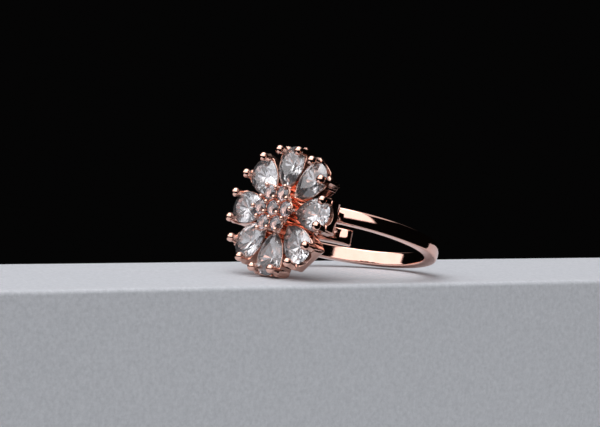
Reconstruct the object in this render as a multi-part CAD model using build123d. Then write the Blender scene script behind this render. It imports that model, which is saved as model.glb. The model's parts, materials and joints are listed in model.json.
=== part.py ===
from build123d import *

import os
from math import atan2, cos, degrees, radians, sin, sqrt

# A flower cocktail ring, resting as it does on a table: on the lowest petal
# cup and on the back of the band. +Z is up from the table, the flower looks
# towards -Y, and the origin is the centre of the finger hole.
#
# Everything is first drawn in the ring's own axes (Z along the finger, -Y out
# through the flower) and is tilted as one at the end.

# ---------------------------------------------------------------- sizes, mm
FINGER_RADIUS = 8.65          # finger hole, 17.3 mm across
BAND_THICKNESS = 1.4
BAND_WIDTH = 1.7
BAND_PITCH = 2.2              # how far the band travels along the finger in one turn
BAND_HIDDEN_END = -35.0       # degrees from the flower: the end soldered under it
BAND_FREE_END = 399.0         # degrees from the flower: the end that passes it

PETAL_COUNT = 8
PRONG_CIRCLE_RADIUS = 6.95    # from the flower's axis to the prong balls
PRONG_HALF_ANGLE = 12.9       # a petal's two prongs, either side of its middle
PRONG_PLANE = 12.9            # prong balls, from the finger hole's centre
FLOWER_SHIFT = 0.23           # flower's middle above the band's middle, along the finger
FLOWER_TURN = -2.7            # the flower is soldered on this many degrees off square
BALL_RADIUS = 0.48
PRONG_NECK_RADIUS = 0.34
PRONG_LEAN = 0.12             # how far each ball leans in over its stone

PEAR_RADIUS = 1.7             # round end of a pear stone
PEAR_CENTRE = 5.5             # its centre, from the flower's axis
PEAR_LENGTH = 3.05            # from that centre to the point
GIRDLE_LEVEL = -0.95          # stone's widest line, from the prong plane
GIRDLE_THICKNESS = 0.1
CROWN_HEIGHT = 0.45
TABLE_SCALE = 0.58
PAVILION_DEPTH = 1.6
CULET_SCALE = 0.06
PEAR_FACETS = 16

CUP_WALL = 0.17
RAIL_BACK = -2.7              # back of the cup's rail, from the prong plane
RAIL_TOP = -1.6
CUP_CORNER_RADIAL = 7.3       # squared outer end of the cup
CUP_BACK_RADIAL = 6.95        # the same end at the back: it leans in
CUP_CORNER_HALF_WIDTH = 1.8
CUP_SHOULDER_RADIAL = 6.1
CUP_INNER_SCALE = 0.5         # culet window in the cup's back, against the stone
WINDOW_HALF_WIDTH = 1.18      # opening between a petal's two prongs

CLUSTER_RADIUS = 1.95         # from the flower's axis to the halo stones
HALO_COUNT = 6
ROUND_RADIUS = 0.8            # small round stones
ROUND_CROWN = 0.26
ROUND_TABLE = 0.46
ROUND_PAVILION = 0.62
ROUND_FACETS = 16
CLUSTER_TOP = 0.45            # plate the round stones sit in, from the prong plane
CONE_WAIST_RADIUS = 2.15
CONE_WAIST_LEVEL = -0.15
SEAT_RIM = 0.2                # metal round each small stone
BEAD_RADIUS = 0.23
OUTER_BEADS_RADIUS = 2.81     # from the flower's axis to the beads outside the halo stones

PLATE_RADIUS = 4.4
PLATE_THICKNESS = 0.65

BAND_BACK_HALF = range(90, 271)  # degrees from the flower: the stretch that can touch a table
STEEPEST_REST = 45.0          # degrees, more than any rest of this ring
BISECTION_STEPS = 40


# ------------------------------------------------------------------ helpers
def polar(radius, angle_deg):
    return (radius * cos(radians(angle_deg)), radius * sin(radians(angle_deg)))


def ruled(lower, upper):
    """Straight-sided solid between two outlines."""
    return loft([lower, upper], ruled=True)


def polygon_face(points, level):
    return Plane.XY.offset(level) * make_face(Polyline(*points, close=True))


# ----------------------------------------------------------- the pear outline
def side_radius():
    """Radius of a pear's long sides, tangent to its round end."""
    return (PEAR_LENGTH**2 + PEAR_RADIUS**2) / (2 * PEAR_RADIUS)


def pear_half_width(x, grow=0.0):
    """Half-width of the pear at x, where 0 is the middle of the round end."""
    if x >= 0:
        return sqrt(max((PEAR_RADIUS + grow) ** 2 - x**2, 0.0))
    long_radius = side_radius()
    return sqrt((long_radius + grow) ** 2 - x**2) - (long_radius - PEAR_RADIUS)


def pear_tip(grow=0.0):
    long_radius = side_radius()
    return -sqrt((long_radius + grow) ** 2 - (long_radius - PEAR_RADIUS) ** 2)


def pear_outline(grow=0.0, scale=1.0, level=0.0):
    """Smooth pear, on the petal's own axis, offset by grow and then scaled."""
    round_end = (PEAR_RADIUS + grow) * scale
    tip = pear_tip(grow) * scale
    middle = tip / 2
    half = pear_half_width(middle / scale, grow) * scale
    curves = [
        ThreePointArc((0, -round_end), (round_end, 0), (0, round_end)),
        ThreePointArc((0, round_end), (middle, half), (tip, 0)),
        ThreePointArc((tip, 0), (middle, -half), (0, -round_end)),
    ]
    face = make_face(Curve() + curves)
    return Plane((PEAR_CENTRE, 0, level)) * face


def pear_points(scale=1.0):
    """Corners of the faceted pear: round end first, then out to the point and back."""
    side_steps = PEAR_FACETS // 4
    arc_steps = PEAR_FACETS // 2
    arc = [polar(PEAR_RADIUS, -90 + 180 * i / arc_steps) for i in range(arc_steps + 1)]
    stations = [pear_tip() * i / side_steps for i in range(1, side_steps)]
    upper = [(x, pear_half_width(x)) for x in stations]
    lower = [(x, -y) for x, y in reversed(upper)]
    corners = arc + upper + [(pear_tip(), 0)] + lower
    return [(PEAR_CENTRE + x * scale, y * scale) for x, y in corners]


# ------------------------------------------------------------------- stones
def pear_stone():
    """Pear-cut stone on its petal's axis: crown, girdle and keeled pavilion."""
    girdle = pear_points()
    table = pear_points(TABLE_SCALE)
    culet = pear_points(CULET_SCALE)
    top = GIRDLE_LEVEL + GIRDLE_THICKNESS
    band = ruled(polygon_face(girdle, GIRDLE_LEVEL), polygon_face(girdle, top))
    crown = ruled(polygon_face(girdle, top), polygon_face(table, top + CROWN_HEIGHT))
    pavilion = ruled(
        polygon_face(culet, GIRDLE_LEVEL - PAVILION_DEPTH),
        polygon_face(girdle, GIRDLE_LEVEL),
    )
    return band + crown + pavilion


def ring_points(radius):
    return [polar(radius, 360 * i / ROUND_FACETS) for i in range(ROUND_FACETS)]


def round_stone():
    """Small round stone, its girdle just above the plate it is set in."""
    table_level = CLUSTER_TOP + ROUND_CROWN
    culet_level = CLUSTER_TOP - ROUND_PAVILION
    rim = polygon_face(ring_points(ROUND_RADIUS), CLUSTER_TOP)
    table = polygon_face(ring_points(ROUND_TABLE), table_level)
    culet = polygon_face(ring_points(ROUND_RADIUS * CULET_SCALE), culet_level)
    return ruled(rim, table) + ruled(culet, rim)


# --------------------------------------------------------------- petal cups
def cup_outline():
    """Front view of a cup: rounded at the flower's middle, squared at the outer end."""
    squared = Polyline(
        (PEAR_CENTRE, -PEAR_RADIUS - CUP_WALL),
        (CUP_SHOULDER_RADIAL, -CUP_CORNER_HALF_WIDTH - CUP_WALL),
        (CUP_CORNER_RADIAL, -CUP_CORNER_HALF_WIDTH + CUP_WALL),
        (CUP_CORNER_RADIAL, CUP_CORNER_HALF_WIDTH - CUP_WALL),
        (CUP_SHOULDER_RADIAL, CUP_CORNER_HALF_WIDTH + CUP_WALL),
        (PEAR_CENTRE, PEAR_RADIUS + CUP_WALL),
        close=True,
    )
    return pear_outline(CUP_WALL) + make_face(squared)


def prong(side):
    """Neck and round ball of one outer prong, leaning in over the stone."""
    x, y = polar(PRONG_CIRCLE_RADIUS, side * PRONG_HALF_ANGLE)
    foot = Vector(x, y, RAIL_TOP)
    ball = Vector(x - PRONG_LEAN, y - side * PRONG_LEAN, 0)
    lean = ball - foot
    neck = Plane(origin=foot, z_dir=lean) * extrude(Circle(PRONG_NECK_RADIUS), lean.length)
    return neck + Pos(*ball) * Sphere(BALL_RADIUS)


def petal_cup(stone):
    wall_top = GIRDLE_LEVEL + GIRDLE_THICKNESS
    walls = extrude(Pos(0, 0, RAIL_BACK) * cup_outline(), wall_top - RAIL_BACK)
    seat = ruled(
        pear_outline(scale=CUP_INNER_SCALE, level=RAIL_BACK),
        pear_outline(level=GIRDLE_LEVEL),
    )
    mouth = extrude(pear_outline(level=GIRDLE_LEVEL), wall_top - GIRDLE_LEVEL)
    window_depth = CUP_CORNER_RADIAL - PEAR_CENTRE
    window = Pos(CUP_CORNER_RADIAL, 0, RAIL_TOP) * Box(
        window_depth,
        2 * WINDOW_HALF_WIDTH,
        wall_top - RAIL_TOP,
        align=(Align.CENTER, Align.CENTER, Align.MIN),
    )
    end_lean = degrees(atan2(CUP_CORNER_RADIAL - CUP_BACK_RADIAL, wall_top - RAIL_BACK))
    beyond_end = Pos(CUP_BACK_RADIAL, 0, RAIL_BACK) * Rot(0, end_lean, 0) * Box(
        PEAR_RADIUS,
        4 * CUP_CORNER_HALF_WIDTH,
        4 * (wall_top - RAIL_BACK),
        align=(Align.MIN, Align.CENTER, Align.CENTER),
    )
    cup = walls - seat - mouth - window - beyond_end
    for side in (-1, 1):
        cup += prong(side)
    return cup - stone


# ------------------------------------------------------------ middle cluster
def halo_spots():
    return [polar(CLUSTER_RADIUS, 360 * i / HALO_COUNT) for i in range(HALO_COUNT)]


def bead_spots():
    """Three rings of beads: round the centre stone, between the halo stones, outside them."""
    step = 360 / HALO_COUNT
    inner_radius = CLUSTER_RADIUS / sqrt(3)
    between_radius = 2 * inner_radius
    spots = []
    for i in range(HALO_COUNT):
        spots.append(polar(inner_radius, (i + 0.5) * step))
        spots.append(polar(between_radius, (i + 0.5) * step))
        spots.append(polar(OUTER_BEADS_RADIUS, i * step))
    return spots


def centre_setting(stones):
    seat_radius = ROUND_RADIUS + SEAT_RIM
    flare_height = CLUSTER_TOP - CONE_WAIST_LEVEL
    stem = Pos(0, 0, RAIL_BACK) * extrude(Circle(CONE_WAIST_RADIUS), CLUSTER_TOP - RAIL_BACK)
    setting = stem
    for x, y in [(0, 0)] + halo_spots():
        setting += Pos(x, y, CLUSTER_TOP - flare_height / 2) * Cone(
            seat_radius - SEAT_RIM, seat_radius, flare_height
        )
    for x, y in bead_spots():
        setting += Pos(x, y, CLUSTER_TOP) * Sphere(BEAD_RADIUS)
    for stone in stones:
        setting -= stone
    return setting


# ---------------------------------------------------------------- the shank
def shank():
    """Flat band coiled round the finger, passing itself under the flower.

    A thick ribbon follows the coil; a true tube trims it, so that the inside
    is round to the finger. The free end is nosed.
    """
    sweep_deg = BAND_FREE_END - BAND_HIDDEN_END
    drop = BAND_PITCH * sweep_deg / 360
    outer_radius = FINGER_RADIUS + BAND_THICKNESS
    path = Helix(
        pitch=BAND_PITCH,
        height=drop,
        radius=FINGER_RADIUS + BAND_THICKNESS / 2,
        lefthand=True,
    )
    # The coil is drawn climbing clockwise from +X, so it starts at the free end.
    section = Plane(origin=path @ 0, x_dir=(1, 0, 0), z_dir=path % 0) * Rectangle(
        2 * BAND_THICKNESS, BAND_WIDTH
    )
    ribbon = sweep(section, path=path, is_frenet=True)
    tube_length = drop + 2 * BAND_WIDTH
    tube = Pos(0, 0, drop / 2) * (
        Cylinder(outer_radius, tube_length) - Cylinder(FINGER_RADIUS, tube_length)
    )
    band = ribbon & tube
    band += Pos(*(path @ 0)) * Cylinder(BAND_THICKNESS / 2, BAND_WIDTH)
    # Zero degrees is towards the flower (-Y); the back of the band is at z = 0.
    back_level = BAND_PITCH * (BAND_FREE_END - 180) / 360
    return Rot(0, 0, BAND_FREE_END - 90) * Pos(0, 0, -back_level) * band


# ------------------------------------------------------------- the assembly
def gallery_plate(band):
    """Plate behind the flower, saddled over the band, that carries the cups."""
    back = RAIL_BACK - PLATE_THICKNESS
    plate = Pos(0, 0, back) * extrude(Circle(PLATE_RADIUS), PLATE_THICKNESS)
    return place_on_flower(plate) - band


def place_on_flower(shape, turn=0.0):
    """From the flower's axes (Z out through it) to the ring's axes."""
    flower = Plane(origin=(0, -PRONG_PLANE, FLOWER_SHIFT), x_dir=(1, 0, 0), z_dir=(0, -1, 0))
    return flower.location * Rot(0, 0, turn + FLOWER_TURN) * shape


def level_above_table(x, y, z, tilt):
    """Height of a point of the ring once its flower is levelled and its back is tilted down."""
    levelled = z * cos(radians(FLOWER_TURN)) - x * sin(radians(FLOWER_TURN))
    return levelled * cos(radians(tilt)) - y * sin(radians(tilt))


def band_low_point(tilt):
    """Lowest level of the band's lower outer edge, away from the flower."""
    levels = []
    for angle in BAND_BACK_HALF:
        x, y = polar(FINGER_RADIUS + BAND_THICKNESS, angle - 90)
        z = -BAND_PITCH * (angle - 180) / 360 - BAND_WIDTH / 2
        levels.append(level_above_table(x, y, z, tilt))
    return min(levels)


def cup_low_point(tilt):
    """Level of the lowest cup's back corner."""
    y = -(PRONG_PLANE + RAIL_BACK)
    return (FLOWER_SHIFT - CUP_BACK_RADIAL) * cos(radians(tilt)) - y * sin(radians(tilt))


def rest_tilt():
    """Tilt at which the lowest cup and the back of the band share a table."""
    low, high = 0.0, STEEPEST_REST
    for _ in range(BISECTION_STEPS):
        middle = (low + high) / 2
        if band_low_point(middle) > cup_low_point(middle):
            low = middle
        else:
            high = middle
    return low


def assembly():
    band = shank()
    stone = pear_stone()
    cup = petal_cup(stone)
    small_stone = round_stone()
    spots = [(0, 0)] + halo_spots()
    small_stones = [Pos(x, y, 0) * small_stone for x, y in spots]

    nodes = {"shank": band, "gallery_plate": gallery_plate(band)}
    nodes["centre_setting"] = place_on_flower(centre_setting(small_stones)) - band
    small_names = ["centre_stone"] + [f"halo_stone_{i + 1}" for i in range(HALO_COUNT)]
    for name, shape in zip(small_names, small_stones):
        nodes[name] = place_on_flower(shape)
    for i in range(PETAL_COUNT):
        turn = 90 - 360 * i / PETAL_COUNT
        nodes[f"petal_cup_{i + 1}"] = place_on_flower(cup, turn) - band
        nodes[f"petal_stone_{i + 1}"] = place_on_flower(stone, turn)
    return nodes


os.makedirs("parts", exist_ok=True)
rest = Rot(-rest_tilt(), 0, 0) * Rot(0, FLOWER_TURN, 0)
for node, shape in assembly().items():
    export_step(rest * shape, f"parts/{node}.step")
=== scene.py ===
"""Looks of a flower cocktail ring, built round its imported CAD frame.

Everything is drawn in millimetres in one of three sets of axes and is then
carried to the frame's metres:
  petal axes   x out along a petal, z out of the flower, origin on the flower's axis
  flower axes  x to the flower's right, y up across its face, z out of it
  ring axes    z along the finger, -y out through the flower
In petal and flower axes, levels are heights above the prong plane, which holds the
centres of the prong balls.
"""

import json
import math
import random

import bmesh
import bpy
from mathutils import Matrix, Vector


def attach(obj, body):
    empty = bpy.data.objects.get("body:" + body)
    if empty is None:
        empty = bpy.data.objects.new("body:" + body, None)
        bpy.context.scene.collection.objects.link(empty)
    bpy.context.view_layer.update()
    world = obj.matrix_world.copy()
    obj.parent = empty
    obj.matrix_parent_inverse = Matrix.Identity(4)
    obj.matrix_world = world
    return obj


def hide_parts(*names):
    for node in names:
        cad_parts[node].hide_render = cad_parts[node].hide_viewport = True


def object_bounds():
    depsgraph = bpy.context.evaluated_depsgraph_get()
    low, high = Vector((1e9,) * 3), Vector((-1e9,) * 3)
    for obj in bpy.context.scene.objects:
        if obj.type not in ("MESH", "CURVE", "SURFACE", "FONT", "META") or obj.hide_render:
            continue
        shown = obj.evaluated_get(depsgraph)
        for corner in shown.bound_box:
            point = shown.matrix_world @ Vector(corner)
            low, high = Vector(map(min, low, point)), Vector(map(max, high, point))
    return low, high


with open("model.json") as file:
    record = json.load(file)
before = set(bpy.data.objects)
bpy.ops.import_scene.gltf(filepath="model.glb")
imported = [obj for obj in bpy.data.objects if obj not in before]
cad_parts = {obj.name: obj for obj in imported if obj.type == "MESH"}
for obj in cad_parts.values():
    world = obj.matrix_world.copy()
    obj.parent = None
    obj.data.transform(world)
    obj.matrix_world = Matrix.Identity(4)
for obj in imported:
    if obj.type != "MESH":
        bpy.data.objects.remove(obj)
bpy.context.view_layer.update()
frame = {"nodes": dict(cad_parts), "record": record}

MM = 0.001

# ------------------------------------------------------------------ sizes, mm
# Most repeat the CAD model's driving dimensions, so that every piece sits on its node. The
# prong balls and the beads are a little larger here, and the band's faces are shaped.
BAND_THICKNESS = 1.4
BAND_WIDTH = 1.7
BAND_PITCH = 2.2              # how far the band travels along the finger in one turn
BAND_HIDDEN_END = -35.0       # degrees from the flower: the end soldered under it
BAND_FREE_END = 399.0         # degrees from the flower: the end that passes it
BAND_CORNER = 0.2
BAND_CROWN = 0.13             # how far the outer face falls away at its edges
BAND_DRAFT = 0.16             # slope of the inner face along the finger
NOSE_TIP = 0.02               # band's thickness at the tip of its free end, against the rest
THIN_CORNER = 0.9             # largest corner of a thin section, against half its thickness

PETALS = 8
PRONG_CIRCLE = 6.95           # from the flower's axis to the prong balls
PRONG_HALF_ANGLE = 12.9       # degrees: a petal's two prongs, either side of its middle
PRONG_PLANE = 12.9            # prong balls, from the finger hole's centre
FLOWER_SHIFT = 0.23           # flower's middle above the band's middle, along the finger
BALL_RADIUS = 0.52
BALL_SQUASH = 0.94            # a ball's height against its width
PRONG_LEAN = 0.12             # how far each ball leans in over its stone

PEAR_RADIUS = 1.7             # round end of a pear stone
PEAR_CENTRE = 5.5             # its centre, from the flower's axis
PEAR_LENGTH = 3.05            # from that centre to the point
GIRDLE_TOP = -0.85            # top of the stone's edge
GIRDLE_THICKNESS = 0.1
STONE_OVERLAP = 0.14          # how far the stone's edge reaches out over its cup's wall
CROWN_HEIGHT = 0.45
PAVILION_DEPTH = 1.6
PEAR_TABLE = 0.56             # flat top, against the stone's outline
PEAR_CULET = -0.25            # the stone's deepest point, out from the round end's centre

RAIL_BACK = -2.7              # back of a cup's rail
RAIL_TOP = -1.6
CUP_WALL = 0.17
CUP_INNER_SCALE = 0.5         # culet window in the cup's back, against the stone
CUP_CORNER_RADIAL = 7.3       # squared outer end of the cup
CUP_BACK_RADIAL = 6.95        # the same end at the back: it leans in
CUP_END_POWER = 4             # it leans in mostly near the back
CUP_CORNER_HALF_WIDTH = 1.8
CUP_SHOULDER_RADIAL = 6.1
LIP_LEVEL = GIRDLE_TOP - 0.12  # cup's rim, just behind the stone's edge
WINDOW_HALF_WIDTH = 1.18      # opening between a petal's two prongs
WINDOW_POWER = 2.6            # curve of its bottom: 2 would be a parabola
POST_TOP = -0.95
POST_ALONG = 0.55             # a post's wall starts this far out from the pear's centre
POST_ACROSS = (1.50, 1.75)    # and ends between these distances from the petal's middle
POST_POWER = 0.45             # a post's outline: 1 would be an ellipse, 0 a rectangle
# A post's sections, back to front: how far in from the prong's spot along the petal and across
# it, half the post's size along and across, and the level.
POST_SECTIONS = (
    (0.22, 0.03, 0.38, 0.34, RAIL_BACK),
    (0.10, 0.00, 0.42, 0.36, RAIL_TOP),
    (0.02, 0.00, 0.42, 0.37, POST_TOP),
    (0.06, 0.03, 0.37, 0.35, POST_TOP + 0.3),
    (0.10, 0.08, 0.34, 0.34, -0.1),
)

CLUSTER_RADIUS = 1.95         # from the flower's axis to the halo stones
HALOS = 6
CLUSTER_TOP = 0.45            # top of the round stones' edges
CLUSTER_FLOOR = 0.05          # metal between their collars
ROUND_RADIUS = 0.8            # small round stones
ROUND_SPREAD = 0.05           # how far their edges reach beyond the CAD's, towards the beads
ROUND_GIRDLE = 0.04
ROUND_CROWN = 0.26
ROUND_PAVILION = 0.62
ROUND_TABLE = 0.54            # flat top, against the stone's outline
TURN_SEED = 7                 # for how each round stone is turned in its seat
BEAD_RADIUS = 0.27
BEAD_LEVEL = CLUSTER_TOP + 0.22  # centres of the beads
STALK_TAPER = 0.75            # top of a bead's stalk, against its foot
OUTER_BEADS_RADIUS = 2.81     # from the flower's axis to the beads outside the halo stones
# Outside of the cone that carries the round stones, back to front, as (radius, level).
CONE_PROFILE = (
    (1.90, RAIL_BACK),
    (2.02, -1.4),
    (2.10, -0.5),
    (2.20, -0.15),
    (2.38, 0.0),
    (2.46, CLUSTER_FLOOR),
    (2.30, CLUSTER_FLOOR + 0.04),
)
# Section of the collar under each round stone, as (radius, level).
COLLAR_INNER = 0.74
COLLAR_OUTER = 0.94
COLLAR_BACK = -0.1
SEAT_LEVEL = CLUSTER_TOP - 0.1
COLLAR_PROFILE = (
    (COLLAR_INNER - 0.12, COLLAR_BACK),
    (COLLAR_INNER, SEAT_LEVEL - 0.1),
    (COLLAR_INNER + 0.03, SEAT_LEVEL),
    (COLLAR_OUTER - 0.04, SEAT_LEVEL - 0.02),
    (COLLAR_OUTER, SEAT_LEVEL - 0.08),
    (COLLAR_OUTER - 0.02, 0.1),
    (COLLAR_OUTER - 0.2, COLLAR_BACK),
)

# Proportions of a brilliant cut, the same for the pear and the round stones.
MAIN_FACETS = 8
KITE_LEVEL = 0.56             # where star and kite facets meet, against the crown's height
KITE_FLARE = 1.04             # and how far they bulge there
LOWER_LEVEL = 0.62            # where the lower halves end, against the pavilion's depth
LOWER_SCALE = 0.42            # stone's outline there
LOWER_SHIFT = 0.5             # and its offset, against the culet's

# -------------------------------------------------------------- mesh fineness
BAND_STATION = 1.5            # degrees between the band's sections
NOSE_STEPS = 12
CORNER_STEPS = 5
FACE_STEPS = 8
CUP_STEPS = 360
CUP_LEVELS = 16
POST_STEPS = 28
BALL_STEPS = 32
BEAD_STEPS = 24
STALK_STEPS = 16
STALK_LEVELS = 3
CONE_STEPS = 96
COLLAR_STEPS = 64
SKIN_SMOOTHING = 2            # passes
# Fused skins: the size of a voxel, and the share of the faces that is kept.
CUP_SKIN = {"voxel": 0.032, "keep": 0.4}
SETTING_SKIN = {"voxel": 0.03, "keep": 0.45}
PLATE_SKIN = {"voxel": 0.06, "keep": 0.3}

# ------------------------------------------------------- shelf, light, camera
# The ring stands on a pale shelf whose edges run across the view, behind and before the ring.
SHELF_YAW = 33.0              # degrees between the edges and straight across the view
SHELF_BEHIND = 15.5           # far edge, from the ring's origin
SHELF_BEFORE = 11.2           # near edge
SHELF_HALF_LENGTH = 75.0
SHELF_HEIGHT = 40.0
SHELF_EDGE = 0.5              # radius of its rounded edges
SHELF_EDGE_STEPS = 6

# The studio is a dark room with panels of light. Headings are degrees clockwise from +Y, and
# heights are degrees above the horizon.
FRONT_PANEL = {
    "heading": 173.0, "half_width": 66.0, "low": 18.0, "high": 62.0, "soft": 3.0, "strength": 1.65
}
BACK_PANEL = {
    "heading": -43.0, "half_width": 45.0, "low": 35.0, "high": 70.0, "soft": 10.0, "strength": 0.25
}
DOME_LOW = 44.0               # the light overhead starts at this height
DOME_FULL = 52.0
DOME_STRENGTH = 0.8
ROOM_STRENGTH = 0.0015
STUDIO_TINT = (1.0, 0.965, 0.975)
# Soft boxes; power is in watts.
OVERHEAD = {"place": (-40, -60, 400), "target": (0, 0, 0), "size": (400, 340), "power": 0.9}
SHELF_FILL = {"place": (300, -80, -120), "target": (10, 0, -20), "size": (200, 100), "power": 0.4}

CAMERA_AZIMUTH = 44.025       # degrees: 0 looks along +Y, 90 along -X
CAMERA_ELEVATION = 3.472
CAMERA_ROLL = -2.415
CAMERA_DISTANCE = 249.46
CAMERA_LEFT = 5.73            # shift of the camera to its own left
CAMERA_UP = 3.03
CAMERA_LENS = 132.0
CAMERA_SENSOR = 36.0
CAMERA_CLIP = 10.0            # nearest distance that it sees

# --------------------------------------------------------------- the three axes
hole = next(m for m in frame["record"]["mounts"] if m["name"] == "finger_hole")
finger_axis = Vector(hole["axis"])
HOLE_RADIUS = hole["dims"]["r_mm"]
tilt = math.atan2(finger_axis.y, finger_axis.z)
lean = math.asin(finger_axis.x)
RING = (
    Matrix.Scale(MM, 4)
    @ Matrix.Rotation(-tilt, 4, "X")
    @ Matrix.Rotation(lean, 4, "Y")
)
flower_origin = Matrix.Rotation(lean, 4, "Y") @ Vector((0, -PRONG_PLANE, FLOWER_SHIFT))
FLOWER = (
    Matrix.Scale(MM, 4)
    @ Matrix.Rotation(-tilt, 4, "X")
    @ Matrix.Translation(flower_origin)
    @ Matrix.Rotation(math.pi / 2, 4, "X")
)


def petal_axes(index):
    """Petal axes of petal number index, counted clockwise from the top."""
    turn = math.radians(90 - 360 * index / PETALS)
    return FLOWER @ Matrix.Rotation(turn, 4, "Z")


# ------------------------------------------------------------------ mesh helpers
def new_object(name, verts, faces, smooth=True):
    """Object with that mesh, its normals pointing out."""
    mesh = bpy.data.meshes.new(name)
    mesh.from_pydata([tuple(v) for v in verts], [], faces)
    mesh.validate()
    bm = bmesh.new()
    bm.from_mesh(mesh)
    bmesh.ops.recalc_face_normals(bm, faces=bm.faces)
    bm.to_mesh(mesh)
    bm.free()
    mesh.polygons.foreach_set("use_smooth", [smooth] * len(mesh.polygons))
    obj = bpy.data.objects.new(name, mesh)
    bpy.context.scene.collection.objects.link(obj)
    return obj


def fuse(obj, voxel, keep):
    """Melts overlapping closed shells into one skin, as a casting is, and keeps a share of its faces."""
    remesh = obj.modifiers.new("fuse", "REMESH")
    remesh.mode = "VOXEL"
    remesh.voxel_size = voxel
    remesh.use_smooth_shade = True
    soften = obj.modifiers.new("soften", "SMOOTH")
    soften.factor = 0.5
    soften.iterations = SKIN_SMOOTHING
    thin = obj.modifiers.new("thin", "DECIMATE")
    thin.ratio = keep
    bpy.context.view_layer.update()
    graph = bpy.context.evaluated_depsgraph_get()
    mesh = bpy.data.meshes.new_from_object(obj.evaluated_get(graph))
    obj.modifiers.clear()
    obj.data = mesh


def add_shells(obj, shells):
    """Adds closed shells to an object's mesh as they are, smooth shaded."""
    extra = new_object("extra_shells", *join_parts(shells))
    bm = bmesh.new()
    bm.from_mesh(obj.data)
    bm.from_mesh(extra.data)
    bm.to_mesh(obj.data)
    bm.free()
    bpy.data.objects.remove(extra)
    obj.data.polygons.foreach_set("use_smooth", [True] * len(obj.data.polygons))


def finish_piece(obj, matrix, material, node):
    obj.data.transform(matrix)
    obj.data.materials.clear()
    obj.data.materials.append(material)
    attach(obj, "root")
    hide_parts(node)


def join_parts(parts):
    """One vertex and face list from several."""
    verts, faces = [], []
    for part_verts, part_faces in parts:
        base = len(verts)
        verts += part_verts
        faces += [tuple(base + i for i in face) for face in part_faces]
    return verts, faces


def loft_rings(rings, close_ends=True):
    """Vertices and faces of a skin through closed rings of equal length."""
    count = len(rings[0])
    verts = [v for ring in rings for v in ring]
    faces = []
    for r in range(len(rings) - 1):
        for i in range(count):
            j = (i + 1) % count
            faces.append((r * count + i, r * count + j, (r + 1) * count + j, (r + 1) * count + i))
    if close_ends:
        faces.append(tuple(range(count)))
        last = (len(rings) - 1) * count
        faces.append(tuple(last + i for i in reversed(range(count))))
    return verts, faces


def loft_loop(rings):
    """Skin through closed rings that follow each other round and meet."""
    return loft_rings(rings + rings[:1], close_ends=False)


def circle(steps):
    """Points of a unit circle, as (cosine, sine)."""
    turns = [2 * math.pi * i / steps for i in range(steps)]
    return [(math.cos(turn), math.sin(turn)) for turn in turns]


def ball(centre, radius, squash, steps):
    """Closed ball made of rings, flattened along z by squash."""
    rings = []
    for r in range(1, steps // 2):
        polar = math.pi * r / (steps // 2)
        ring_radius, height = radius * math.sin(polar), radius * math.cos(polar) * squash
        rings.append(
            [
                (centre[0] + ring_radius * c, centre[1] + ring_radius * s, centre[2] - height)
                for c, s in circle(steps)
            ]
        )
    return loft_rings(rings)


def rod(start, end, start_radius, end_radius, steps, levels):
    """Closed tapered rod between two points."""
    start, end = Vector(start), Vector(end)
    axis = (end - start).normalized()
    side = axis.orthogonal().normalized()
    up = axis.cross(side)
    rings = []
    for level in range(levels):
        share = level / (levels - 1)
        radius = start_radius + (end_radius - start_radius) * share
        middle = start.lerp(end, share)
        rings.append([tuple(middle + side * (radius * c) + up * (radius * s)) for c, s in circle(steps)])
    return loft_rings(rings)


def turned(profile, steps):
    """Solid of revolution about z through (radius, level) points, closed at both ends."""
    return loft_rings([[(radius * c, radius * s, z) for c, s in circle(steps)] for radius, z in profile])


def revolved_loop(profile, centre, steps):
    """Ring swept by a closed (radius, level) profile about a vertical line."""
    return loft_loop(
        [[(centre[0] + r * c, centre[1] + r * s, z) for r, z in profile] for c, s in circle(steps)]
    )


# ------------------------------------------------------------- pear outline
def smoothstep(low, high, value):
    share = max(0.0, min(1.0, (value - low) / (high - low)))
    return share * share * (3 - 2 * share)


def side_radius():
    """Radius of a pear's long sides, tangent to its round end."""
    return (PEAR_LENGTH**2 + PEAR_RADIUS**2) / (2 * PEAR_RADIUS)


def pear_reach(angle, grow):
    """Distance from the centre of the pear's round end to its outline, grown, along angle."""
    if math.cos(angle) >= 0:
        return PEAR_RADIUS + grow
    long_radius = side_radius() + grow
    drop = side_radius() - PEAR_RADIUS
    # the long side is an arc centred across the axis, drop below it
    across = drop * abs(math.sin(angle))
    return -across + math.sqrt(across**2 + long_radius**2 - drop**2)


def cup_reach(angle):
    """Outer outline of a cup: the pear's sides, squared off at the outer end."""
    reach = pear_reach(angle, CUP_WALL)
    cos_a, sin_a = math.cos(angle), abs(math.sin(angle))
    if cos_a <= 0:
        return reach
    corners = [
        (0.0, PEAR_RADIUS + CUP_WALL),
        (CUP_SHOULDER_RADIAL - PEAR_CENTRE, CUP_CORNER_HALF_WIDTH + CUP_WALL),
        (CUP_CORNER_RADIAL - PEAR_CENTRE, CUP_CORNER_HALF_WIDTH - CUP_WALL),
        (CUP_CORNER_RADIAL - PEAR_CENTRE, 0.0),
    ]
    rounding = 1e-9
    for (x0, y0), (x1, y1) in zip(corners, corners[1:]):
        cross = cos_a * (y1 - y0) - sin_a * (x1 - x0)
        if abs(cross) < rounding:
            continue
        distance = (x0 * (y1 - y0) - y0 * (x1 - x0)) / cross
        along = (distance * cos_a - x0) * (x1 - x0) + (distance * sin_a - y0) * (y1 - y0)
        span = (x1 - x0) ** 2 + (y1 - y0) ** 2
        if distance > 0 and -rounding <= along <= span + rounding:
            return max(reach, distance)
    return reach


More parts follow.
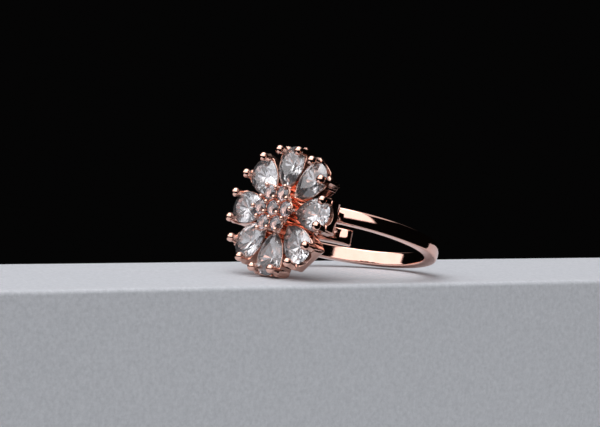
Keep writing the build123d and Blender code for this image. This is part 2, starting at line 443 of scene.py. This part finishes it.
# ------------------------------------------------------------------- shank
def band_section(half_thickness, half_width, corner, crown, draft):
    """Rounded section as (radial, along the finger), domed outside and drafted inside."""
    points = []
    inset_r, inset_w = half_thickness - corner, half_width - corner
    corners = [
        (inset_r, inset_w, 0),
        (-inset_r, inset_w, 90),
        (-inset_r, -inset_w, 180),
        (inset_r, -inset_w, 270),
    ]
    for index, (r, w, start) in enumerate(corners):
        for i in range(CORNER_STEPS + 1):
            a = math.radians(start + 90 * i / CORNER_STEPS)
            points.append((r + corner * math.cos(a), w + corner * math.sin(a)))
        next_r, next_w, _ = corners[(index + 1) % len(corners)]
        end_a = math.radians(start + 90)
        begin_r, begin_w = r + corner * math.cos(end_a), w + corner * math.sin(end_a)
        finish_r, finish_w = next_r + corner * math.cos(end_a), next_w + corner * math.sin(end_a)
        for i in range(1, FACE_STEPS):
            share = i / FACE_STEPS
            points.append((begin_r + (finish_r - begin_r) * share, begin_w + (finish_w - begin_w) * share))
    shaped = []
    for r, w in points:
        outside = max(0.0, r / half_thickness)
        inside = max(0.0, -r / half_thickness)
        shaped.append((r - crown * outside * (w / half_width) ** 2 + draft * inside * w, w))
    return shaped


def band_stations(nose_degrees):
    """(degrees from the flower, share of full thickness) along the band and round its free end."""
    length = BAND_FREE_END - BAND_HIDDEN_END
    count = int(length / BAND_STATION)
    stations = [(BAND_HIDDEN_END + length * i / count, 1.0) for i in range(count + 1)]
    for i in range(1, NOSE_STEPS + 1):
        a = math.pi / 2 * i / NOSE_STEPS
        stations.append((BAND_FREE_END + nose_degrees * math.sin(a), max(math.cos(a), NOSE_TIP)))
    return stations


def make_shank():
    """Flat coiled band with a domed outer face and a nosed free end."""
    half_thickness, half_width = BAND_THICKNESS / 2, BAND_WIDTH / 2
    middle_radius = HOLE_RADIUS + half_thickness
    rings = []
    for degrees, share in band_stations(math.degrees(half_thickness / middle_radius)):
        angle = math.radians(degrees)
        level = -BAND_PITCH * (degrees - 180) / 360
        half = half_thickness * share
        corner = min(BAND_CORNER, half * THIN_CORNER)
        ring = []
        for r, w in band_section(half, half_width, corner, BAND_CROWN * share, BAND_DRAFT * share):
            radius = middle_radius + r
            ring.append((radius * math.sin(angle), -radius * math.cos(angle), level + w))
        rings.append(ring)
    band = new_object("polished_band", *loft_rings(rings))
    finish_piece(band, RING, materials["band"], "shank")


# --------------------------------------------------------------- petal cups
def wall_top(angle, reach):
    """Height of a cup's rim: at the stone's edge, but a round-bottomed window between the prongs."""
    along, across = reach * math.cos(angle), abs(reach * math.sin(angle))
    if along <= 0:
        return LIP_LEVEL
    if across < WINDOW_HALF_WIDTH:
        depth = 1 - (across / WINDOW_HALF_WIDTH) ** WINDOW_POWER
        return POST_TOP + (RAIL_TOP - POST_TOP) * depth
    post = 1 - smoothstep(*POST_ACROSS, across) if along >= POST_ALONG else 0.0
    return LIP_LEVEL + (POST_TOP - LIP_LEVEL) * post


def cup_point(angle, reach, z):
    """Point of a cup's wall; the squared outer end leans in towards the back."""
    depth = max((GIRDLE_TOP - z) / (GIRDLE_TOP - RAIL_BACK), 0.0)
    lean_in = (CUP_CORNER_RADIAL - CUP_BACK_RADIAL) * depth**CUP_END_POWER
    end = CUP_CORNER_RADIAL - PEAR_CENTRE - lean_in
    return PEAR_CENTRE + min(reach * math.cos(angle), end), reach * math.sin(angle), z


def cup_wall():
    """Pear-shaped wall and rail of one cup, as a skin round its perimeter."""
    rings = []
    for i in range(CUP_STEPS):
        angle = 2 * math.pi * i / CUP_STEPS
        outer, inner_top = cup_reach(angle), pear_reach(angle, 0.0)
        inner_low = inner_top * CUP_INNER_SCALE
        top = wall_top(angle, outer)
        levels = [RAIL_BACK + (top - RAIL_BACK) * k / CUP_LEVELS for k in range(CUP_LEVELS + 1)]
        ring = [cup_point(angle, outer, z) for z in levels]
        for z in reversed(levels):
            share = max(0.0, min(1.0, (z - RAIL_BACK) / (GIRDLE_TOP - RAIL_BACK)))
            inner = inner_low + (inner_top - inner_low) * share
            ring.append(cup_point(angle, min(inner, outer - CUP_WALL), z))
        rings.append(ring)
    return loft_loop(rings)


def prong_spot(side):
    """Where a petal's prong stands; side is 1 or -1."""
    angle = math.radians(side * PRONG_HALF_ANGLE)
    return PRONG_CIRCLE * math.cos(angle), PRONG_CIRCLE * math.sin(angle)


def post_outline(x, y, half_along, half_across, z):
    """Boxy rounded outline of a post at one level."""
    return [
        (
            x + half_along * math.copysign(abs(c) ** POST_POWER, c),
            y + half_across * math.copysign(abs(s) ** POST_POWER, s),
            z,
        )
        for c, s in circle(POST_STEPS)
    ]


def prong_post(side):
    """Flat-faced post at the cup's corner, leaning in and ending inside the ball."""
    x, y = prong_spot(side)
    return loft_rings(
        [
            post_outline(x - inward, y - side * aside, half_along, half_across, z)
            for inward, aside, half_along, half_across, z in POST_SECTIONS
        ]
    )


def prong_ball(side):
    x, y = prong_spot(side)
    centre = (x - PRONG_LEAN, y - side * PRONG_LEAN, 0.0)
    return ball(centre, BALL_RADIUS, BALL_SQUASH, BALL_STEPS)


def make_cups():
    """All eight cups are copies of one fused mesh."""
    pattern = new_object("cup_pattern", *join_parts([cup_wall(), prong_post(-1), prong_post(1)]))
    fuse(pattern, **CUP_SKIN)
    add_shells(pattern, [prong_ball(-1), prong_ball(1)])
    for i in range(PETALS):
        cup = bpy.data.objects.new(f"cast_cup_{i + 1}", pattern.data.copy())
        bpy.context.scene.collection.objects.link(cup)
        finish_piece(cup, petal_axes(i), materials["cast"], f"petal_cup_{i + 1}")
    bpy.data.objects.remove(pattern)


# ------------------------------------------------------------------- stones
def brilliant(outline, girdle_top, girdle, crown, pavilion, table, culet):
    """Brilliant-cut stone on any outline.

    outline(t) gives the (x, y) of the girdle for t from 0 to 1 round it; culet is how far
    the deepest point lies along x.
    """
    verts, faces = [], []
    mains = MAIN_FACETS
    girdle_back = girdle_top - girdle

    def ring(count, offset, scale, z, shift=0.0):
        base = len(verts)
        for i in range(count):
            x, y = outline((i + offset) / count)
            verts.append((x * scale + shift, y * scale, z))
        return [base + i for i in range(count)]

    tables = ring(mains, 0.0, table, girdle_top + crown)
    mids = ring(mains, 0.5, (1 + table) / 2 * KITE_FLARE, girdle_top + crown * KITE_LEVEL)
    rim = ring(2 * mains, 0.0, 1.0, girdle_top)
    belt = ring(2 * mains, 0.0, 1.0, girdle_back)
    lows = ring(mains, 0.5, LOWER_SCALE, girdle_back - pavilion * LOWER_LEVEL, culet * LOWER_SHIFT)
    verts.append((culet, 0.0, girdle_back - pavilion))
    point = len(verts) - 1
    faces.append(tuple(tables))
    for i in range(mains):
        after = (i + 1) % mains
        before = (i - 1) % mains
        left, middle, right = rim[2 * i], rim[2 * i + 1], rim[2 * after]
        faces.append((tables[i], mids[i], tables[after]))
        faces.append((tables[i], mids[before], left, mids[i]))
        faces.append((mids[i], left, middle))
        faces.append((mids[i], middle, right))
        low_left, low_middle, low_right = belt[2 * i], belt[2 * i + 1], belt[2 * after]
        faces.append((left, low_left, low_middle, middle))
        faces.append((middle, low_middle, low_right, right))
        faces.append((low_left, lows[i], low_middle))
        faces.append((low_middle, lows[i], low_right))
        faces.append((low_left, lows[before], point, lows[i]))
    return verts, faces


def pear_point(t):
    """Girdle point of the pear for t from 0 to 1: evenly round it, starting at the point."""
    angle = math.pi + 2 * math.pi * t
    reach = pear_reach(angle, STONE_OVERLAP)
    return reach * math.cos(angle), reach * math.sin(angle)


def circle_point(t):
    """Girdle point of a round stone for t from 0 to 1."""
    radius = ROUND_RADIUS + ROUND_SPREAD
    return radius * math.cos(2 * math.pi * t), radius * math.sin(2 * math.pi * t)


def make_petal_stones():
    verts, faces = brilliant(
        pear_point, GIRDLE_TOP, GIRDLE_THICKNESS, CROWN_HEIGHT, PAVILION_DEPTH, PEAR_TABLE, PEAR_CULET
    )
    verts = [(x + PEAR_CENTRE, y, z) for x, y, z in verts]
    for i in range(PETALS):
        stone = new_object(f"pear_stone_{i + 1}", verts, faces, smooth=False)
        finish_piece(stone, petal_axes(i), materials["stone"], f"petal_stone_{i + 1}")


def cluster_spots():
    """Middles of the round stones: the centre stone, then the halo stones."""
    return [(0.0, 0.0)] + [(CLUSTER_RADIUS * c, CLUSTER_RADIUS * s) for c, s in circle(HALOS)]


def make_cluster_stones():
    nodes = ["centre_stone"] + [f"halo_stone_{i + 1}" for i in range(HALOS)]
    verts, faces = brilliant(
        circle_point, CLUSTER_TOP, ROUND_GIRDLE, ROUND_CROWN, ROUND_PAVILION, ROUND_TABLE, 0.0
    )
    dice = random.Random(TURN_SEED)
    for node, (x, y) in zip(nodes, cluster_spots()):
        stone = new_object(f"round_{node}", verts, faces, smooth=False)
        turn = Matrix.Rotation(dice.uniform(0, math.tau), 4, "Z")
        seat = FLOWER @ Matrix.Translation((x, y, 0)) @ turn
        finish_piece(stone, seat, materials["small_stone"], node)


# ------------------------------------------------------------ middle cluster
def bead_spots():
    """Three rings of beads: round the centre stone, between the halo stones, outside them."""
    step = 2 * math.pi / HALOS
    inner = CLUSTER_RADIUS / math.sqrt(3)
    spots = []
    for i in range(HALOS):
        for radius, turn in ((inner, i + 0.5), (2 * inner, i + 0.5), (OUTER_BEADS_RADIUS, i)):
            spots.append((radius * math.cos(turn * step), radius * math.sin(turn * step)))
    return spots


def bead_stalk(x, y):
    foot, top = (x, y, 0.0), (x, y, BEAD_LEVEL)
    return rod(foot, top, BEAD_RADIUS, BEAD_RADIUS * STALK_TAPER, STALK_STEPS, STALK_LEVELS)


def make_centre_setting():
    """Cone, collars and beads that hold the round stones."""
    parts = [turned(CONE_PROFILE, CONE_STEPS)]
    parts += [revolved_loop(COLLAR_PROFILE, spot, COLLAR_STEPS) for spot in cluster_spots()]
    parts += [bead_stalk(x, y) for x, y in bead_spots()]
    setting = new_object("cluster_setting", *join_parts(parts))
    fuse(setting, **SETTING_SKIN)
    add_shells(setting, [ball((x, y, BEAD_LEVEL), BEAD_RADIUS, 1.0, BEAD_STEPS) for x, y in bead_spots()])
    finish_piece(setting, FLOWER, materials["cast_bright"], "centre_setting")


def make_gallery_plate():
    """The saddled plate behind the flower: its CAD solid, softened as a casting."""
    source = frame["nodes"]["gallery_plate"]
    plate = bpy.data.objects.new("back_plate", source.data.copy())
    bpy.context.scene.collection.objects.link(plate)
    plate.data.transform(Matrix.Scale(1 / MM, 4))
    fuse(plate, **PLATE_SKIN)
    finish_piece(plate, Matrix.Scale(MM, 4), materials["cast"], "gallery_plate")


# ---------------------------------------------------------------- node helpers
def new_material(name):
    material = bpy.data.materials.new(name)
    material.use_nodes = True
    tree = material.node_tree
    tree.nodes.clear()
    return material, tree, tree.nodes.new("ShaderNodeOutputMaterial")


def add_node(tree, kind, **settings):
    made = tree.nodes.new(kind)
    for key, value in settings.items():
        setattr(made, key, value)
    return made


def object_millimetres(tree):
    """Object coordinates in millimetres."""
    coords = add_node(tree, "ShaderNodeTexCoord")
    mapping = add_node(tree, "ShaderNodeMapping")
    mapping.inputs["Scale"].default_value = (1 / MM, 1 / MM, 1 / MM)
    tree.links.new(coords.outputs["Object"], mapping.inputs["Vector"])
    return mapping.outputs["Vector"]


def noise_value(tree, vector, scale, detail, rough=0.5):
    noise = add_node(tree, "ShaderNodeTexNoise")
    noise.inputs["Scale"].default_value = scale
    noise.inputs["Detail"].default_value = detail
    noise.inputs["Roughness"].default_value = rough
    tree.links.new(vector, noise.inputs["Vector"])
    return noise.outputs["Fac"]


def ramp(tree, value, span, low, high):
    """Colour that goes from low to high while value crosses span."""
    made = add_node(tree, "ShaderNodeValToRGB")
    for element, position, colour in zip(made.color_ramp.elements, span, (low, high)):
        element.position = position
        element.color = (*colour, 1)
    tree.links.new(value, made.inputs["Fac"])
    return made.outputs["Color"]


def add_bump(tree, shader, height, strength, depth):
    """Surface relief on a shader; depth is in millimetres."""
    bump = add_node(tree, "ShaderNodeBump")
    bump.inputs["Strength"].default_value = strength
    bump.inputs["Distance"].default_value = depth * MM
    tree.links.new(height, bump.inputs["Height"])
    tree.links.new(bump.outputs["Normal"], shader.inputs["Normal"])


def mix_shaders(tree, first, second, share):
    """The first shader with a share of the second."""
    mix = add_node(tree, "ShaderNodeMixShader")
    mix.inputs[0].default_value = share
    tree.links.new(first.outputs[0], mix.inputs[1])
    tree.links.new(second.outputs[0], mix.inputs[2])
    return mix


def math_node(tree, operation, first, second=0.0):
    made = add_node(tree, "ShaderNodeMath", operation=operation)
    for socket, value in zip(made.inputs, (first, second)):
        if isinstance(value, (int, float)):
            socket.default_value = value
        else:
            tree.links.new(value, socket)
    return made.outputs[0]


def soft_step(tree, value, low, high):
    """0 where value is at low, 1 where it is at high, and smooth between."""
    made = add_node(tree, "ShaderNodeMapRange", interpolation_type="SMOOTHSTEP")
    made.inputs["From Min"].default_value = low
    made.inputs["From Max"].default_value = high
    tree.links.new(value, made.inputs["Value"])
    return made.outputs["Result"]


# ------------------------------------------------------------------- materials
def rose_gold(name, base, deep, roughness, grain, grain_scale, grain_depth):
    """Plated rose gold: slight colour drift, uneven polish and a fine surface grain."""
    material, tree, output = new_material(name)
    vector = object_millimetres(tree)
    shader = add_node(tree, "ShaderNodeBsdfPrincipled")
    shader.inputs["Metallic"].default_value = 1.0
    drift = noise_value(tree, vector, scale=0.7, detail=2.0)
    tree.links.new(ramp(tree, drift, (0.3, 0.7), deep, base), shader.inputs["Base Color"])
    polish = noise_value(tree, vector, scale=2.3, detail=4.0, rough=0.6)
    smoothest, roughest = [(value, value, value) for value in roughness]
    tree.links.new(ramp(tree, polish, (0.3, 0.75), smoothest, roughest), shader.inputs["Roughness"])
    fine = noise_value(tree, vector, scale=grain_scale, detail=5.0, rough=0.65)
    add_bump(tree, shader, fine, grain, grain_depth)
    tree.links.new(shader.outputs["BSDF"], output.inputs["Surface"])
    return material


def clear_stone(name, tint, index, sheen, haze):
    """Colourless cut stone: sharp refraction and a trace of sparkle from cuts too fine to see."""
    material, tree, output = new_material(name)
    glass = add_node(tree, "ShaderNodeBsdfGlass")
    glass.inputs["Color"].default_value = (*tint, 1)
    glass.inputs["Roughness"].default_value = 0.0
    glass.inputs["IOR"].default_value = index
    sparkle = add_node(tree, "ShaderNodeBsdfAnisotropic")
    sparkle.inputs["Color"].default_value = (0.86, 0.88, 0.93, 1)
    sparkle.inputs["Roughness"].default_value = 0.35
    cloud = add_node(tree, "ShaderNodeBsdfDiffuse")
    cloud.inputs["Color"].default_value = (0.80, 0.81, 0.84, 1)
    sparkling = mix_shaders(tree, glass, sparkle, sheen)
    tree.links.new(mix_shaders(tree, sparkling, cloud, haze).outputs[0], output.inputs["Surface"])
    return material


def pale_card():
    """Pale coated card: faint mottling and a very fine tooth."""
    material, tree, output = new_material("pale_card")
    vector = object_millimetres(tree)
    shader = add_node(tree, "ShaderNodeBsdfPrincipled")
    shader.inputs["Roughness"].default_value = 0.55
    mottle = noise_value(tree, vector, scale=2.2, detail=4.0, rough=0.7)
    colour = ramp(tree, mottle, (0.3, 0.7), (0.50, 0.525, 0.565), (0.62, 0.645, 0.69))
    tree.links.new(colour, shader.inputs["Base Color"])
    tooth = noise_value(tree, vector, scale=3.0, detail=3.0, rough=0.6)
    add_bump(tree, shader, tooth, strength=0.5, depth=0.08)
    tree.links.new(shader.outputs["BSDF"], output.inputs["Surface"])
    return material


CAST_COLOURS = {"base": (0.91, 0.58, 0.48), "deep": (0.85, 0.51, 0.41)}
materials = {
    "band": rose_gold(
        "polished_rose_gold",
        base=(0.93, 0.58, 0.485),
        deep=(0.90, 0.53, 0.43),
        roughness=(0.03, 0.08),
        grain=0.12,
        grain_scale=5.0,
        grain_depth=0.02,
    ),
    "cast": rose_gold(
        "cast_rose_gold",
        **CAST_COLOURS,
        roughness=(0.06, 0.16),
        grain=0.14,
        grain_scale=6.0,
        grain_depth=0.03,
    ),
    "cast_bright": rose_gold(
        "bright_cast_rose_gold",
        **CAST_COLOURS,
        roughness=(0.04, 0.12),
        grain=0.12,
        grain_scale=6.0,
        grain_depth=0.03,
    ),
    "stone": clear_stone(
        "clear_cut_stone", tint=(0.985, 0.988, 0.995), index=2.05, sheen=0.08, haze=0.04
    ),
    # The small stones are as clear as the pear stones. Their greyer tint is painted shade, for the dim
    # look they have down in their recess.
    "small_stone": clear_stone(
        "small_stone_with_painted_shade", tint=(0.88, 0.89, 0.92), index=2.1, sheen=0.05, haze=0.03
    ),
}


# ------------------------------------------------------------------- stage
def make_floor():
    """Plain pale shelf the ring rests on, with softened edges."""
    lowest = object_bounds()[0][2]
    half_depth = (SHELF_BEHIND + SHELF_BEFORE) / 2
    middle = (SHELF_BEHIND - SHELF_BEFORE) / 2
    levels = [(-SHELF_HEIGHT, 0.0)]
    for i in range(SHELF_EDGE_STEPS + 1):
        a = math.pi / 2 * i / SHELF_EDGE_STEPS
        levels.append((-SHELF_EDGE * (1 - math.sin(a)), SHELF_EDGE * (1 - math.cos(a))))
    rings = []
    for z, inset in levels:
        half_x, half_y = SHELF_HALF_LENGTH - inset, half_depth - inset
        corners = [(1, 1), (-1, 1), (-1, -1), (1, -1)]
        rings.append([(x * half_x, middle + y * half_y, z) for x, y in corners])
    floor = new_object("floor", *loft_rings(rings), smooth=False)
    turn = Matrix.Rotation(math.radians(CAMERA_AZIMUTH + SHELF_YAW), 4, "Z")
    floor.data.transform(Matrix.Translation((0, 0, lowest)) @ turn @ Matrix.Scale(MM, 4))
    floor.data.materials.append(pale_card())


def make_world():
    """Panels of light in a dark room, painted on the directions of the world."""
    world = bpy.data.worlds.new("studio")
    bpy.context.scene.world = world
    world.use_nodes = True
    tree = world.node_tree
    tree.nodes.clear()
    output = add_node(tree, "ShaderNodeOutputWorld")
    background = add_node(tree, "ShaderNodeBackground")
    coords = add_node(tree, "ShaderNodeTexCoord")
    parts = add_node(tree, "ShaderNodeSeparateXYZ")
    tree.links.new(coords.outputs["Generated"], parts.inputs[0])
    elevation = math_node(tree, "DEGREES", math_node(tree, "ARCSINE", parts.outputs["Z"]))

    def aside(heading):
        """Degrees away from a heading, either way."""
        across = add_node(tree, "ShaderNodeVectorRotate", rotation_type="Z_AXIS")
        across.inputs["Angle"].default_value = math.radians(heading)
        tree.links.new(coords.outputs["Generated"], across.inputs["Vector"])
        turned_parts = add_node(tree, "ShaderNodeSeparateXYZ")
        tree.links.new(across.outputs[0], turned_parts.inputs[0])
        away = math_node(tree, "ARCTAN2", turned_parts.outputs["X"], turned_parts.outputs["Y"])
        return math_node(tree, "DEGREES", math_node(tree, "ABSOLUTE", away))

    def panel(heading, half_width, low, high, soft, strength):
        sides = soft_step(tree, aside(heading), half_width + soft, half_width - soft)
        bottom = soft_step(tree, elevation, low - soft, low + soft)
        top = soft_step(tree, elevation, high + soft, high - soft)
        mask = math_node(tree, "MULTIPLY", math_node(tree, "MULTIPLY", sides, bottom), top)
        return math_node(tree, "MULTIPLY", mask, strength)

    dome = math_node(tree, "MULTIPLY", soft_step(tree, elevation, DOME_LOW, DOME_FULL), DOME_STRENGTH)
    brightest = math_node(tree, "MAXIMUM", panel(**FRONT_PANEL), dome)
    brightest = math_node(tree, "MAXIMUM", brightest, panel(**BACK_PANEL))
    strength = math_node(tree, "ADD", brightest, ROOM_STRENGTH)
    tree.links.new(strength, background.inputs["Strength"])
    background.inputs["Color"].default_value = (*STUDIO_TINT, 1)
    tree.links.new(background.outputs[0], output.inputs["Surface"])


def softbox(name, place, target, size, power):
    """Rectangular soft light; its places and sizes are in millimetres."""
    light = bpy.data.lights.new(name, "AREA")
    light.shape = "RECTANGLE"
    light.size, light.size_y = [side * MM for side in size]
    light.energy = power
    obj = bpy.data.objects.new(name, light)
    obj.location = Vector(place) * MM
    obj.rotation_euler = (Vector(target) - Vector(place)).to_track_quat("-Z", "Y").to_euler()
    bpy.context.scene.collection.objects.link(obj)
    return obj


def make_lights():
    make_world()
    softbox("overhead", **OVERHEAD)
    # A low fill for the shelf's front alone: the polished metal and the stones don't mirror it.
    fill = softbox("shelf_fill", **SHELF_FILL)
    fill.visible_glossy = False
    fill.visible_transmission = False


def make_camera():
    azimuth, elevation = math.radians(CAMERA_AZIMUTH), math.radians(CAMERA_ELEVATION)
    flat = math.cos(elevation)
    forward = Vector((-math.sin(azimuth) * flat, math.cos(azimuth) * flat, -math.sin(elevation)))
    level = forward.cross(Vector((0, 0, 1))).normalized()
    right = Matrix.Rotation(math.radians(CAMERA_ROLL), 3, forward) @ level
    up = right.cross(forward)
    place = (up * CAMERA_UP - right * CAMERA_LEFT - forward * CAMERA_DISTANCE) * MM
    data = bpy.data.cameras.new("camera")
    data.sensor_width = CAMERA_SENSOR
    data.lens = CAMERA_LENS
    data.clip_start = CAMERA_CLIP * MM
    camera = bpy.data.objects.new("camera", data)
    axes = Matrix((right, up, -forward)).transposed().to_4x4()
    camera.matrix_world = Matrix.Translation(place) @ axes
    bpy.context.scene.collection.objects.link(camera)
    bpy.context.scene.camera = camera


# ------------------------------------------------------------------- pieces
make_shank()
make_cups()
make_petal_stones()
make_cluster_stones()
make_centre_setting()
make_gallery_plate()

make_floor()
make_lights()
make_camera()

scene = bpy.context.scene
scene.view_settings.view_transform = "Standard"
scene.cycles.max_bounces = 24
scene.cycles.transmission_bounces = 24
scene.cycles.glossy_bounces = 4
scene.cycles.caustics_reflective = True
scene.cycles.caustics_refractive = True
scene.cycles.sample_clamp_indirect = 8.0
